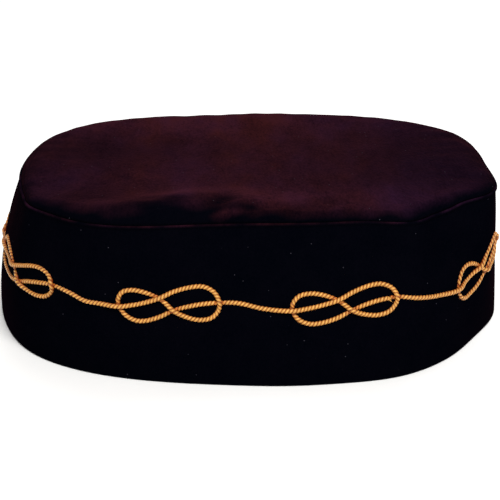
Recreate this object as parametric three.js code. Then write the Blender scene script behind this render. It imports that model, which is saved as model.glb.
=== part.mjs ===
// Crown cap: an oval velvet cap whose top panel puffs over a side band, with a gold cord sewn round the band
// in a chain of love knots. Millimetres, +Z up: X runs along the cap's length, -Y is its front, and the rim
// stands on Z = 0. Bearings are in degrees, from +X towards +Y, seen from above.

import * as THREE from "three";

// Driving dimensions
const RIM = { halfLength: 103, halfWidth: 86.5, squareness: 2.4 };
const SEAM = { halfLength: 94, halfWidth: 74.7, squareness: 2.64 };
const SEAM_HEIGHT = 58;
const SEAM_LEAN = 3.2;
const WALL_BOW = 1.9;
const BAND_CLOTH = 2.5;
const TOP_CLOTH = 2.2;
const SEAM_GAP = 0.3;
const CORD_DIAMETER = 1.75;
const CORD_GAP = 0.25;

// Soft corners of the outlines and swells of the wall's bow: how far each goes out, or in, round a bearing
const RIM_CORNERS = [
  { bearing: 200, pull: -2.4, spread: 15 },
  { bearing: 282, pull: 2, spread: 18 },
  { bearing: 305, pull: 2.7, spread: 12 },
  { bearing: 334, pull: -3, spread: 12 },
  { bearing: 352, pull: 1.5, spread: 13 },
];
const SEAM_CORNERS = [
  { bearing: 24, pull: 2.9, spread: 20 },
  { bearing: 194, pull: -0.9, spread: 9 },
  { bearing: 213, pull: 2.1, spread: 6 },
  { bearing: 232, pull: 8.9, spread: 19 },
  { bearing: 308, pull: 5.9, spread: 6.5 },
  { bearing: 328, pull: -4.5, spread: 7 },
  { bearing: 335, pull: 4.3, spread: 17 },
];
const WALL_SWELLS = [
  { bearing: 190, pull: 1.4, spread: 25 },
  { bearing: 352, pull: -1.3, spread: 16 },
];

// Puff: how high the top panel stands over the seam along its crest and in its middle, where the crest is
// fuller or flatter, and the share of the way in to the middle over which it falls
const PUFF = 3.7;
const MIDDLE_PUFF = 2.6;
const PUFF_SWELLS = [
  { bearing: 88, pull: 0.4, spread: 12 },
  { bearing: 115, pull: -1.1, spread: 18 },
  { bearing: 207, pull: -1.6, spread: 15 },
  { bearing: 245, pull: 2.6, spread: 13 },
  { bearing: 264, pull: 1.9, spread: 10 },
  { bearing: 298, pull: -1.1, spread: 20 },
  { bearing: 335, pull: -1.5, spread: 16 },
];
const ROLL_DEPTH_PER_PUFF = 2.4;
const CREST_SPREAD = 0.24;

// Dents and folds of the top panel: a negative depth is a dent, a positive one a raised fold
const TOP_DENTS = [
  { x: -7, y: -61, depth: -1.3, length: 9, width: 4.5, turn: 70 },
  { x: -4, y: -69, depth: 0.9, length: 12, width: 2.6, turn: 28 },
  { x: 8, y: -67, depth: -1.1, length: 5, width: 3, turn: 15 },
  { x: 22, y: -66, depth: -0.5, length: 7, width: 3.5, turn: 0 },
  { x: -20, y: -63, depth: -0.5, length: 6, width: 4, turn: 40 },
  { x: -33, y: -62, depth: -0.6, length: 7, width: 4, turn: -20 },
  { x: 35, y: -66, depth: 0.3, length: 9, width: 3, turn: 8 },
  { x: 52, y: -56, depth: -0.4, length: 8, width: 6, turn: 20 },
  { x: -41, y: -27, depth: 0.4, length: 10, width: 3.5, turn: -50 },
  { x: -55, y: 10, depth: -0.8, length: 40, width: 25, turn: 20 },
];

// Sections, a row for each ring round the cap. The band's goes up the outside and down the inside, by shares
// of the seam's height. The top panel's goes from the middle of its underside out to its seat on the band,
// then over the roll and in to the middle of its top, by shares of the roll's depth, of the way in from there
// to the middle, and of the puff.
const BAND_SECTION = [
  { height: 0, out: -0.5 },
  { height: 0.025, out: 0 },
  { height: 0.22, out: 0 },
  { height: 0.41, out: 0 },
  { height: 0.6, out: 0 },
  { height: 0.79, out: 0 },
  { height: 0.965, out: 0 },
  { height: 0.98, out: 0.6 },
  { height: 1, out: 0.4 },
  { height: 1, out: -BAND_CLOTH },
  { height: 0.67, out: -BAND_CLOTH },
  { height: 0.33, out: -BAND_CLOTH },
  { height: 0, out: 0.3 - BAND_CLOTH },
];
const TOP_SECTION = [
  { depth: 1, inward: 0.75, rise: 1, below: TOP_CLOTH },
  { depth: 1, inward: 0.5, rise: 1, below: TOP_CLOTH },
  { depth: 1, inward: 0.25, rise: 1, below: TOP_CLOTH },
  { depth: 1, inward: 0.12, rise: 1, below: TOP_CLOTH },
  { depth: 1, inward: 0, rise: 1, below: TOP_CLOTH },
  { depth: 0.42, inward: 0, rise: 0, below: 0 },
  { depth: 0.02, inward: 0, rise: 0, below: 0 },
  { depth: 0.05, inward: 0, rise: 0.3, below: 0 },
  { depth: 0.17, inward: 0, rise: 0.56, below: 0 },
  { depth: 0.4, inward: 0, rise: 0.8, below: 0 },
  { depth: 0.69, inward: 0, rise: 0.95, below: 0 },
  { depth: 1, inward: 0, rise: 1, below: 0 },
  { depth: 1, inward: 0.12, rise: 1, below: 0 },
  { depth: 1, inward: 0.25, rise: 1, below: 0 },
  { depth: 1, inward: 0.5, rise: 1, below: 0 },
  { depth: 1, inward: 0.75, rise: 1, below: 0 },
];
const TOP_MIDDLES = [
  { depth: 1, inward: 1, rise: 1, below: TOP_CLOTH },
  { depth: 1, inward: 1, rise: 1, below: 0 },
];

// Love knot: half of its route, from the middle of the crossing strand to the place where the cord leaves.
// The half before it is the same route turned half round, and lies over this one where they cross.
const KNOT_HALF = [
  { along: -2.4, up: 2.4, crossing: true },
  { along: -7.1, up: 4.9, crossing: false },
  { along: -11.5, up: 5.9, crossing: false },
  { along: -15.5, up: 5.2, crossing: false },
  { along: -18.0, up: 2.6, crossing: false },
  { along: -18.5, up: -0.3, crossing: true },
  { along: -16.9, up: -3.7, crossing: false },
  { along: -13.4, up: -5.8, crossing: false },
  { along: -9.4, up: -5.9, crossing: false },
  { along: -3.5, up: -4.6, crossing: false },
  { along: 2.4, up: -2.4, crossing: true },
  { along: 7.8, up: -1.0, crossing: false },
  { along: 13.0, up: -0.2, crossing: false },
  { along: 18.4, up: 0.1, crossing: true },
];
const LOOP = { length: 18.4, height: 5.9, blend: 4 };

// Knots that show from the front, by their place along the band from its front middle, and the like ones
// behind. Each has a loop to the left and one to the right, with its length and half height, its tilt, and
// how far its upper side leans along for each millimetre of height.
const CORD_HEIGHT = 30;
const LEFT_KNOT = {
  along: -99,
  up: 0.45,
  left: { length: 27.4, height: 4.8, tilt: -6, lean: -0.2 },
  right: { length: 23.8, height: 5.5, tilt: 4.4, lean: 0 },
};
const FRONT_LEFT_KNOT = {
  along: -29.8,
  up: 0.1,
  left: { length: 17.1, height: 5.8, tilt: 4.1, lean: -0.3 },
  right: { length: 19, height: 6, tilt: 1.3, lean: -0.1 },
};
const FRONT_RIGHT_KNOT = {
  along: 34.6,
  up: -0.75,
  left: { length: 19, height: 5.4, tilt: 3.5, lean: -0.1 },
  right: { length: 19.2, height: 5.5, tilt: 6, lean: 0.1 },
};
const RIGHT_KNOT = {
  along: 105.2,
  up: -0.9,
  left: { length: 18.9, height: 6.2, tilt: 6.8, lean: 0.1 },
  right: { length: 17.5, height: 4.6, tilt: 27, lean: 0.2 },
};
const BACK_LOOP = { length: 20.2, height: 5.9, tilt: 4, lean: 0 };
const BACK_KNOT = { up: 0, left: BACK_LOOP, right: BACK_LOOP };
const BACK_KNOTS = 5;

// Where the links between the knots leave the straight way, by a share of the link and a step up
const LEFT_LINK = [{ share: 0.3, up: 0 }, { share: 0.54, up: -1.2 }, { share: 0.73, up: -0.75 }];
const FRONT_LINK = [{ share: 0.26, up: 0.6 }, { share: 0.6, up: -0.3 }];
const RIGHT_LINK = [{ share: 0.3, up: -0.3 }, { share: 0.58, up: -0.7 }];
const BACK_LINK = [{ share: 0.4, up: -0.5 }];

// The cord's two ends lie inside the front right knot, at shares of the last stretch of its route
const CORD_START = 0.61;
const CORD_END = 0.47;

// Fineness of the facets, of the cord's steps, and of the steps that measure lengths and slopes
const FACETS = 80;
const CORD_SIDES = 6;
const CORD_STEP = 2.6;
const ARC_STEPS = 720;
const ROUTE_STEPS = 4000;
const SLOPE_BEARING = 0.2;
const SLOPE_SHARE = 0.01;

const VELVET_TOP = new THREE.MeshStandardMaterial({ color: 0x2d131a, roughness: 0.95, metalness: 0 });
const VELVET_BAND = new THREE.MeshStandardMaterial({ color: 0x0c080d, roughness: 0.95, metalness: 0 });
const GOLD_CORD = new THREE.MeshStandardMaterial({ color: 0xc08347, roughness: 0.6, metalness: 0.1 });

const radians = THREE.MathUtils.degToRad;

// How far a table's corners pull at a bearing, each fading with its spread
const pullAt = (corners, bearing) => corners.reduce((sum, corner) => {
  const away = THREE.MathUtils.euclideanModulo(bearing - corner.bearing + 180, 360) - 180;
  return sum + corner.pull * Math.exp(-((away / corner.spread) ** 2));
}, 0);

// Distance from the middle to a squared oval at a bearing
const ovalRadius = (oval, bearing) => {
  const lengthwise = Math.abs(Math.cos(radians(bearing)) / oval.halfLength) ** oval.squareness;
  const widthwise = Math.abs(Math.sin(radians(bearing)) / oval.halfWidth) ** oval.squareness;
  return (lengthwise + widthwise) ** (-1 / oval.squareness);
};

const rimRadius = (bearing) => ovalRadius(RIM, bearing) + pullAt(RIM_CORNERS, bearing);
const seamRadius = (bearing) => ovalRadius(SEAM, bearing) + pullAt(SEAM_CORNERS, bearing);

// Point of the band's wall at a share of the seam's height, out from its outer face
const bandPoint = (bearing, share, out = 0) => {
  const bow = (WALL_BOW + pullAt(WALL_SWELLS, bearing)) * 4 * share * (1 - share);
  const radius = THREE.MathUtils.lerp(rimRadius(bearing), seamRadius(bearing), share) + bow + out;
  const lean = SEAM_LEAN * share;
  const x = radius * Math.cos(radians(bearing)) + lean;
  return new THREE.Vector3(x, radius * Math.sin(radians(bearing)), SEAM_HEIGHT * share);
};

const puffAt = (bearing) => PUFF + pullAt(PUFF_SWELLS, bearing);

const dentAt = (x, y) => TOP_DENTS.reduce((sum, dent) => {
  const turn = radians(dent.turn);
  const along = (x - dent.x) * Math.cos(turn) + (y - dent.y) * Math.sin(turn);
  const across = (y - dent.y) * Math.cos(turn) - (x - dent.x) * Math.sin(turn);
  return sum + dent.depth * Math.exp(-((along / dent.length) ** 2) - (across / dent.width) ** 2);
}, 0);

// Point of the top panel's skin in a row of its section
const topPoint = (bearing, { depth, inward, rise, below }) => {
  const puff = puffAt(bearing);
  const radius = (seamRadius(bearing) - depth * ROLL_DEPTH_PER_PUFF * puff) * (1 - inward);
  const x = radius * Math.cos(radians(bearing)) + SEAM_LEAN;
  const y = radius * Math.sin(radians(bearing));
  const crest = (puff - MIDDLE_PUFF) * Math.exp(-((inward / CREST_SPREAD) ** 2));
  const swell = MIDDLE_PUFF + crest + dentAt(x, y);
  return new THREE.Vector3(x, y, SEAM_HEIGHT + SEAM_GAP + rise * swell - below);
};

// A ring of points, one for each facet round the cap
const ring = (place) => Array.from({ length: FACETS }, (_, facet) => place((360 * facet) / FACETS));

// Closed skin through rings: the last ring joins the first, or each end closes on a middle point
const skin = (rings, middles) => {
  const points = rings.flat();
  const triangles = [];
  const strip = (lower, upper) => {
    for (let facet = 0; facet < FACETS; facet += 1) {
      const next = (facet + 1) % FACETS;
      triangles.push(lower + facet, lower + next, upper + next, lower + facet, upper + next, upper + facet);
    }
  };
  const fan = (middle, start, flip) => {
    for (let facet = 0; facet < FACETS; facet += 1) {
      const next = (facet + 1) % FACETS;
      triangles.push(middle, start + (flip ? facet : next), start + (flip ? next : facet));
    }
  };
  for (let row = 0; row + 1 < rings.length; row += 1) strip(row * FACETS, (row + 1) * FACETS);
  const last = (rings.length - 1) * FACETS;
  if (middles) {
    fan(points.push(middles[0]) - 1, 0, false);
    fan(points.push(middles[1]) - 1, last, true);
  } else {
    strip(last, 0);
  }
  const geometry = new THREE.BufferGeometry().setFromPoints(points);
  geometry.setIndex(triangles);
  geometry.computeVertexNormals();
  return geometry;
};

const sideBand = () => skin(
  BAND_SECTION.map((row) => ring((bearing) => bandPoint(bearing, row.height, row.out))),
);

const topPanel = () => skin(
  TOP_SECTION.map((row) => ring((bearing) => topPoint(bearing, row))),
  TOP_MIDDLES.map((row) => topPoint(0, row)),
);

// Arc length round the band at the cord's height, from the front middle, for each step of bearing
const FRONT_BEARING = 270;
const cordShare = CORD_HEIGHT / SEAM_HEIGHT;
const arcLengths = [0];
for (let step = 1; step <= ARC_STEPS; step += 1) {
  const before = bandPoint(FRONT_BEARING + (360 * (step - 1)) / ARC_STEPS, cordShare);
  const after = bandPoint(FRONT_BEARING + (360 * step) / ARC_STEPS, cordShare);
  arcLengths.push(arcLengths.at(-1) + before.distanceTo(after));
}
const BAND_LENGTH = arcLengths.at(-1);

const bearingAt = (along) => {
  const arc = THREE.MathUtils.euclideanModulo(along, BAND_LENGTH);
  const after = Math.max(1, arcLengths.findIndex((length) => length >= arc));
  const part = (arc - arcLengths[after - 1]) / (arcLengths[after] - arcLengths[after - 1]);
  return FRONT_BEARING + (360 * (after - 1 + part)) / ARC_STEPS;
};

// The cord's middle line over the band: a flat route of place along, height and lift, laid on the wall
class SewnCord extends THREE.Curve {
  constructor(route) {
    super();
    this.route = route;
    this.arcLengthDivisions = ROUTE_STEPS;
  }

  getPoint(share, target = new THREE.Vector3()) {
    const { x: along, y: height, z: lift } = this.route.getPoint(share);
    const bearing = bearingAt(along);
    const part = height / SEAM_HEIGHT;
    const sideways = bandPoint(bearing + SLOPE_BEARING, part).sub(bandPoint(bearing - SLOPE_BEARING, part));
    const upwards = bandPoint(bearing, part + SLOPE_SHARE).sub(bandPoint(bearing, part - SLOPE_SHARE));
    const outwards = sideways.cross(upwards).normalize();
    const clear = CORD_DIAMETER / 2 + CORD_GAP + Math.max(lift, 0);
    return target.copy(bandPoint(bearing, part)).addScaledVector(outwards, clear);
  }
}

// Whole route of a knot: the half that lies over, turned half round and backwards, the middle, the half under
const KNOT_ROUTE = [
  ...KNOT_HALF.toReversed().map(({ along, up, crossing }) => ({ along: -along, up: -up, over: crossing })),
  { along: 0, up: 0, over: false },
  ...KNOT_HALF.map(({ along, up }) => ({ along, up, over: false })),
];

// Flat route of a knot, whose sizes go over from its left loop's to its right loop's in the middle
const knotPoints = (knot) => KNOT_ROUTE.map(({ along, up, over }) => {
  const rightShare = 0.5 + 0.5 * Math.tanh(along / LOOP.blend);
  const mix = (size) => THREE.MathUtils.lerp(knot.left[size], knot.right[size], rightShare);
  const turn = radians(mix("tilt"));
  const rise = (up * mix("height")) / LOOP.height;
  const reach = (along * mix("length")) / LOOP.length + rise * mix("lean");
  return new THREE.Vector3(
    knot.along + reach * Math.cos(turn) - rise * Math.sin(turn),
    CORD_HEIGHT + knot.up + rise * Math.cos(turn) + reach * Math.sin(turn),
    over ? CORD_DIAMETER + CORD_GAP : 0,
  );
});

// Flat route of a link between two places, where it sways from the straight way
const linkPoints = (link, start, stop) => link.map(({ share, up }) => {
  const place = start.clone().lerp(stop, share);
  return new THREE.Vector3(place.x, place.y + up, 0);
});

// The cord starts and ends under the loop at the right of the front right knot, and goes once round the cap
const cordTrim = () => {
  const backPitch = (BAND_LENGTH + LEFT_KNOT.along - RIGHT_KNOT.along) / (BACK_KNOTS + 1);
  const back = Array.from({ length: BACK_KNOTS }, (_, index) => (
    { link: BACK_LINK, knot: { ...BACK_KNOT, along: RIGHT_KNOT.along + backPitch * (index + 1) } }
  ));
  const again = (knot) => ({ ...knot, along: knot.along + BAND_LENGTH });
  const chain = [
    { link: RIGHT_LINK, knot: RIGHT_KNOT },
    ...back,
    { link: BACK_LINK, knot: again(LEFT_KNOT) },
    { link: LEFT_LINK, knot: again(FRONT_LEFT_KNOT) },
    { link: FRONT_LINK, knot: again(FRONT_RIGHT_KNOT) },
  ];
  const [before, leave] = knotPoints(FRONT_RIGHT_KNOT).slice(-2);
  const points = [before.clone().lerp(leave, CORD_START), leave];
  chain.forEach(({ link, knot }) => {
    const knotted = knotPoints(knot);
    points.push(...linkPoints(link, points.at(-1), knotted[0]), ...knotted);
  });
  points.at(-1).lerpVectors(points.at(-2), points.at(-1), CORD_END);
  const path = new SewnCord(new THREE.CatmullRomCurve3(points));
  const corners = Array.from({ length: CORD_SIDES }, (_, side) => {
    const turn = (2 * Math.PI * side) / CORD_SIDES;
    return new THREE.Vector2(Math.cos(turn), Math.sin(turn)).multiplyScalar(CORD_DIAMETER / 2);
  });
  return new THREE.ExtrudeGeometry(new THREE.Shape(corners), {
    steps: Math.round(path.getLength() / CORD_STEP),
    extrudePath: path,
    bevelEnabled: false,
  });
};

const piece = (name, geometry, material) => {
  const mesh = new THREE.Mesh(geometry, material);
  mesh.name = name;
  return mesh;
};

const cap = new THREE.Group();
cap.add(
  piece("side_band", sideBand(), VELVET_BAND),
  piece("top_panel", topPanel(), VELVET_TOP),
  piece("cord_trim", cordTrim(), GOLD_CORD),
);

// The origin is the middle of the cap's box, on the surface that it stands on
const middle = new THREE.Box3().setFromObject(cap).getCenter(new THREE.Vector3());
cap.position.set(-middle.x, -middle.y, 0);

export default cap;
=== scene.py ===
"""Crown cap: the velvet, the seam and the twisted gold cord of an oval cap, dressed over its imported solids.

The side band and the top panel are cloth walls drawn up from a ring of edges, and the cord is two plies
twisted along its route of love knots. Lengths are in metres: X runs along the cap, -Y is its front, and the
rim stands on Z = 0. Bearings are in degrees, from +X towards +Y, seen from above.
"""

import math
from collections import namedtuple

import bpy
import numpy as np
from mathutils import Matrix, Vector, kdtree, noise


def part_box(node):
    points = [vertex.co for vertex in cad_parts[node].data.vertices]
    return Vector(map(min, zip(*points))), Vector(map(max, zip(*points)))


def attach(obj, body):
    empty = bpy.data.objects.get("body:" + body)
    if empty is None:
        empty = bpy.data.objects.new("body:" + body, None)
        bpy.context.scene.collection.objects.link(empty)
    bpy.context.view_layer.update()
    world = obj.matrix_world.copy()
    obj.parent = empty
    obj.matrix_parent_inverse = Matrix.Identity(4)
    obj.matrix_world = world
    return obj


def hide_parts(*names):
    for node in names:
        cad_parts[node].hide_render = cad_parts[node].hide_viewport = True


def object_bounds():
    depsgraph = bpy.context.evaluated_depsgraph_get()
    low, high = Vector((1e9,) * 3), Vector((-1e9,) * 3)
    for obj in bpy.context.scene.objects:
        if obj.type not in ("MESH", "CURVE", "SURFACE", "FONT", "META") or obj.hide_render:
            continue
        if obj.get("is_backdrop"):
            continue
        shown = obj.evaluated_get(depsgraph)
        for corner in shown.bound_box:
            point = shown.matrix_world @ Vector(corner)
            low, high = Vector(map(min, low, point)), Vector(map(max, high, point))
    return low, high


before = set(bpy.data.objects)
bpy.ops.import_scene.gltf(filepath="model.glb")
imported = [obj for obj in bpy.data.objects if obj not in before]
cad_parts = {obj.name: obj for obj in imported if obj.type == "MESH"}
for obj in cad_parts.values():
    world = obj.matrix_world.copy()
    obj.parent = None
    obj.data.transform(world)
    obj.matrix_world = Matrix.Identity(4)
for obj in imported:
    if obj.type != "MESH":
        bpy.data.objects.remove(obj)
CAD_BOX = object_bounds()

bl_info = {
    "name": "Crown Cap",
    "version": (1, 0, 0),
    "blender": (4, 5, 0),
    "location": "View3D > Sidebar > Crown Cap",
    "description": "Velvet crown cap with a gold cord sewn round it in love knots",
    "category": "Object",
}

MM = 0.001

# Soft corners of the rim and of the seam, and swells of the wall's bow and of the top's puff: how far, in mm,
# each is pulled out or in round a bearing
Corner = namedtuple("Corner", "bearing pull spread")
RIM_CORNERS = (
    Corner(200, -2.4, 15),
    Corner(282, 2.0, 18),
    Corner(305, 2.7, 12),
    Corner(334, -3.0, 12),
    Corner(352, 1.5, 13),
)
SEAM_CORNERS = (
    Corner(24, 2.9, 20),
    Corner(194, -0.9, 9),
    Corner(213, 2.1, 6),
    Corner(232, 8.9, 19),
    Corner(308, 5.9, 6.5),
    Corner(328, -4.5, 7),
    Corner(335, 4.3, 17),
)
WALL_SWELLS = (
    Corner(190, 1.4, 25),
    Corner(352, -1.3, 16),
)
PUFF_SWELLS = (
    Corner(88, 0.4, 12),
    Corner(115, -1.1, 18),
    Corner(207, -1.6, 15),
    Corner(245, 2.6, 13),
    Corner(264, 1.9, 10),
    Corner(298, -1.1, 20),
    Corner(335, -1.5, 16),
)
RIM_SQUARENESS = 2.4
SEAM_SQUARENESS = 2.64

# Spots of the top panel, with their place and size in mm and their turn in degrees: its dents and raised
# folds in mm, its painted sheen, painted highlight and painted shade, as a share, and where that painted
# sheen reaches further down the roll or stops further up, as a share of the roll
Spot = namedtuple("Spot", "x y amount length width turn")
TOP_DENTS = (
    Spot(-7, -61, -1.3, 9, 4.5, 70),
    Spot(-4, -69, 0.9, 12, 2.6, 28),
    Spot(8, -67, -1.1, 5, 3, 15),
    Spot(22, -66, -0.5, 7, 3.5, 0),
    Spot(-20, -63, -0.5, 6, 4, 40),
    Spot(-33, -62, -0.6, 7, 4, -20),
    Spot(35, -66, 0.3, 9, 3, 8),
    Spot(52, -56, -0.4, 8, 6, 20),
    Spot(-41, -27, 0.4, 10, 3.5, -50),
    Spot(-55, 10, -0.8, 40, 25, 20),
)
PAINTED_LIGHT_SPOTS = (
    Spot(-25, 72, 0.45, 75, 38, 0),
    Spot(22, -54, 0.36, 45, 12, 0),
    Spot(85, 5, -0.36, 50, 75, 0),
    Spot(-90, 0, -0.1, 40, 60, 0),
    Spot(-60, -53, -0.26, 24, 12, 0),
    Spot(-40, -64, -0.3, 7, 5, 0),
    Spot(-27, -65, -0.3, 5, 6, 0),
    Spot(29, -58, -0.25, 7, 4, 0),
    Spot(-7, -63.5, -0.45, 6, 3.2, 42),
    Spot(2, -69.5, -0.5, 3.6, 2, 8),
    Spot(8, -67, 0.25, 5, 3, 15),
)
PAINTED_SHEEN_EDGE_SPOTS = (
    Spot(38, -66, 0.2, 34, 14, 0),
    Spot(-5.8, -73, 0.8, 5.5, 1.3, 16),
    Spot(-30, -68, -0.35, 9, 10, 0),
)
# Share of painted sheen on the top where no spot changes it, with painted shade for each mm of a dent and
# painted highlight for each mm of a fold; the shares of the roll where the painted sheen starts and that it
# takes to reach full, and how far the puckers shift that edge
PAINTED_SHEEN_SHARE = 0.5
PAINTED_LIGHT_PER_DENT_MM = 0.3
PAINTED_SHEEN_EDGE_START = 0.32
PAINTED_SHEEN_EDGE_BLEND = 0.75
PAINTED_SHEEN_EDGE_PUCKERS = 0.35

# Slow waves of the top panel and the puckers along its seam, with their width and height in mm
WAVE_WIDTH = 26
WAVE_HEIGHT = 0.15
PUCKER_WIDTH = 8
PUCKER_HEIGHT = 0.3

# Top panel's step in and up from the seam, in mm
SEAM_INSET = 0.3
SEAM_RISE = 0.3

# Half of a love knot's route in mm, from the middle of its crossing strand to where the cord leaves. The half
# before it is the same route turned half round, and lies over this one where they cross.
KnotPoint = namedtuple("KnotPoint", "along up crossing")
KNOT_HALF = (
    KnotPoint(-2.4, 2.4, True),
    KnotPoint(-7.1, 4.9, False),
    KnotPoint(-11.5, 5.9, False),
    KnotPoint(-15.5, 5.2, False),
    KnotPoint(-18.0, 2.6, False),
    KnotPoint(-18.5, -0.3, True),
    KnotPoint(-16.9, -3.7, False),
    KnotPoint(-13.4, -5.8, False),
    KnotPoint(-9.4, -5.9, False),
    KnotPoint(-3.5, -4.6, False),
    KnotPoint(2.4, -2.4, True),
    KnotPoint(7.8, -1.0, False),
    KnotPoint(13.0, -0.2, False),
    KnotPoint(18.4, 0.1, True),
)
LOOP_LENGTH = 18.4
LOOP_HEIGHT = 5.9

# Width in mm over which one loop's form passes into the other's, and how far the cord's middle line is moved
# off the wall, in diameters: where it goes over, where it goes under, and sunk in the pile all along
LOOP_BLEND = 4
LIFT_OVER = 0.5
LIFT_UNDER = -0.2
SUNK = 0.06

# Knots that show from the front, in mm along the band from its front middle, and the like ones behind. Each
# has a loop to the left and one to the right, with its length and half height in mm, its tilt in degrees and
# how far its upper side leans along for each mm of height.
Loop = namedtuple("Loop", "length height tilt lean")
Knot = namedtuple("Knot", "along up left right")
LEFT_KNOT = Knot(-99, 0.45, Loop(27.4, 4.8, -6, -0.2), Loop(23.8, 5.5, 4.4, 0))
FRONT_LEFT_KNOT = Knot(-29.8, 0.1, Loop(17.1, 5.8, 4.1, -0.3), Loop(19, 6, 1.3, -0.1))
FRONT_RIGHT_KNOT = Knot(34.6, -0.75, Loop(19, 5.4, 3.5, -0.1), Loop(19.2, 5.5, 6, 0.1))
RIGHT_KNOT = Knot(105.2, -0.9, Loop(18.9, 6.2, 6.8, 0.1), Loop(17.5, 4.6, 27, 0.2))
BACK_KNOT = Knot(0, 0, Loop(20.2, 5.9, 4, 0), Loop(20.2, 5.9, 4, 0))
BACK_KNOTS = 5

# Where the links between the front knots leave the straight way, as a share of the link and a step up in mm
Sway = namedtuple("Sway", "share up")
LEFT_LINK = (Sway(0.3, 0), Sway(0.54, -1.2), Sway(0.73, -0.75))
FRONT_LINK = (Sway(0.26, 0.6), Sway(0.6, -0.3))
RIGHT_LINK = (Sway(0.3, -0.3), Sway(0.58, -0.7))
BACK_LINK = (Sway(0.4, -0.5),)

# Cord's two ends lie inside the front right knot, at shares of the last stretch of its route, and the loose
# fibres of the frayed end have their thickness and their shortest and longest length in mm
CORD_START = 0.61
CORD_END = 0.47
FRAY_FIBRES = 30
FRAY_THICKNESS = 0.2
FRAY_LENGTHS = 0.6, 1.5
FRAY_STEPS = 6
FRONT_BEARING = 270

# Sizes of a ply in diameters of the cord: its middle's distance from the cord's, its half width and its half
# height. A strand that goes over within the reach makes a crossing.
PLY_OFFSET = 0.22
PLY_HALF_WIDTH = 0.375
PLY_HALF_HEIGHT = 0.3
CROSSING_REACH = 2.2

# Facets round the cloth, its rows, the steps that lengths are measured in, and the sides and steps of a ply
FACETS = 400
BAND_OUTSIDE_ROWS = 44
BAND_INSIDE_ROWS = 14
TOP_UNDER_ROWS = 18
TOP_ROLL_ROWS = 30
TOP_FIELD_ROWS = 46
INNERMOST_ROW = 0.985
ARC_STEPS = 2880
ROUTE_STEPS = 48
PLY_SIDES = 7
STEPS_PER_TWIST = 10


def linear_colour(code):
    """Linear RGBA of an sRGB hex colour such as "c08347"."""
    shares = [int(code[at:at + 2], 16) / 255 for at in (0, 2, 4)]
    return *(share / 12.92 if share <= 0.04045 else ((share + 0.055) / 1.055) ** 2.4 for share in shares), 1.0


class CrownCapSizes(bpy.types.PropertyGroup):
    """Sizes of the cap's cloth."""

    rim_half_length: bpy.props.FloatProperty(
        name="Rim half length", description="Half of the rim's outside length",
        default=103 * MM, unit="LENGTH")
    rim_half_width: bpy.props.FloatProperty(
        name="Rim half width", description="Half of the rim's outside width",
        default=86.5 * MM, unit="LENGTH")
    seam_half_length: bpy.props.FloatProperty(
        name="Seam half length", description="Half of the length inside the seam that joins band and top",
        default=94 * MM, unit="LENGTH")
    seam_half_width: bpy.props.FloatProperty(
        name="Seam half width", description="Half of the width inside the seam that joins band and top",
        default=74.7 * MM, unit="LENGTH")
    seam_height: bpy.props.FloatProperty(
        name="Seam height", description="Height of the seam over the rim",
        default=58 * MM, unit="LENGTH")
    seam_lean: bpy.props.FloatProperty(
        name="Seam lean", description="How far the seam stands to the right of the rim",
        default=3.2 * MM, unit="LENGTH")
    wall_bow: bpy.props.FloatProperty(
        name="Wall bow", description="How far the side band bulges at half height",
        default=1.9 * MM, unit="LENGTH")
    band_cloth: bpy.props.FloatProperty(
        name="Band cloth", description="Thickness of the side band",
        default=2.5 * MM, unit="LENGTH")
    top_cloth: bpy.props.FloatProperty(
        name="Top cloth", description="Thickness of the top panel",
        default=2.2 * MM, unit="LENGTH")
    puff: bpy.props.FloatProperty(
        name="Puff", description="How high the top panel stands over the seam",
        default=3.7 * MM, unit="LENGTH")
    middle_puff: bpy.props.FloatProperty(
        name="Middle puff", description="How high the top panel's middle stands over the seam",
        default=2.6 * MM, unit="LENGTH")
    roll_depth: bpy.props.FloatProperty(
        name="Roll depth", description="How far in the puffed edge reaches, as a share of its height",
        default=2.4)


class CrownCapCord(bpy.types.PropertyGroup):
    """Sizes of the cord."""

    diameter: bpy.props.FloatProperty(
        name="Diameter", description="Cord's diameter over its plies",
        default=1.74 * MM, unit="LENGTH")
    twist: bpy.props.FloatProperty(
        name="Twist length", description="Length in which a ply goes once round the cord",
        default=2.7 * MM, unit="LENGTH")
    slack: bpy.props.FloatProperty(
        name="Slack", description="How much longer the twist is at the cap's two ends, as a share",
        default=0.4, subtype="FACTOR")
    plies: bpy.props.IntProperty(
        name="Plies", description="Number of plies twisted together", default=2, min=2)
    height: bpy.props.FloatProperty(
        name="Height", description="Height of the cord's middle line over the rim",
        default=30 * MM, unit="LENGTH")


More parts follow.
